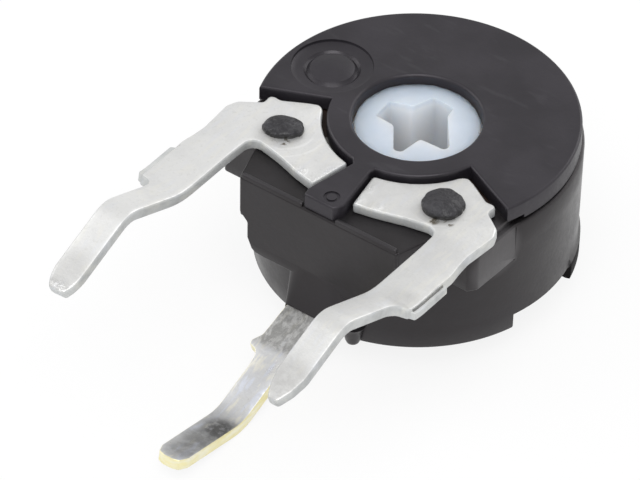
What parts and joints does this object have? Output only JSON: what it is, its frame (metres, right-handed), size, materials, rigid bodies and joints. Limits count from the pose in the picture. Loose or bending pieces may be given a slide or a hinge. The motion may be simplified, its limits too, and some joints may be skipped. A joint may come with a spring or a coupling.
{
  "type": "trimmer potentiometer",
  "caption": "Small round carbon trimmer potentiometer lying on its back: black plastic body, pale cross-recess rotor, two kinked outer terminals on top and a wiper terminal below.",
  "frame": {"origin": "on the rotor's axis, in the plane of the back rest face", "axes": "+Z out of the adjustment face, terminals along -Y, X across from the left outer terminal to the right one; the part lies on its back"},
  "size_m": [0.0066, 0.0111, 0.0041],
  "materials": {
    "housing_plastic": "satin, glass-filled",
    "cover_plastic": "satin, slightly rubbed",
    "paper_laminate": "matte",
    "carbon_film": "matte",
    "silver_film": "satin",
    "tinned_brass": "satin tin plating",
    "tinned_brass_cut": "dull tin plating, bare yellow cut edges",
    "rotor_plastic": "satin, slightly translucent",
    "spring_brass": "satin"
  },
  "bodies": {
    "housing": {"housing": "housing_plastic", "cover": "cover_plastic", "track_substrate": "paper_laminate", "carbon_track": "carbon_film", "left_end_contact": "silver_film", "right_end_contact": "silver_film", "left_terminal": "tinned_brass", "right_terminal": "tinned_brass", "wiper_terminal": "tinned_brass_cut"},
    "rotor": {"rotor": "rotor_plastic", "wiper_spring": "spring_brass"}
  },
  "joints": [
    {"name": "rotor_turn", "type": "hinge", "parent": "housing", "child": "rotor", "pos_m": [0, 0, 0], "axis": [0, 0, 1], "range_deg": [-117.5, 117.5]}
  ]
}
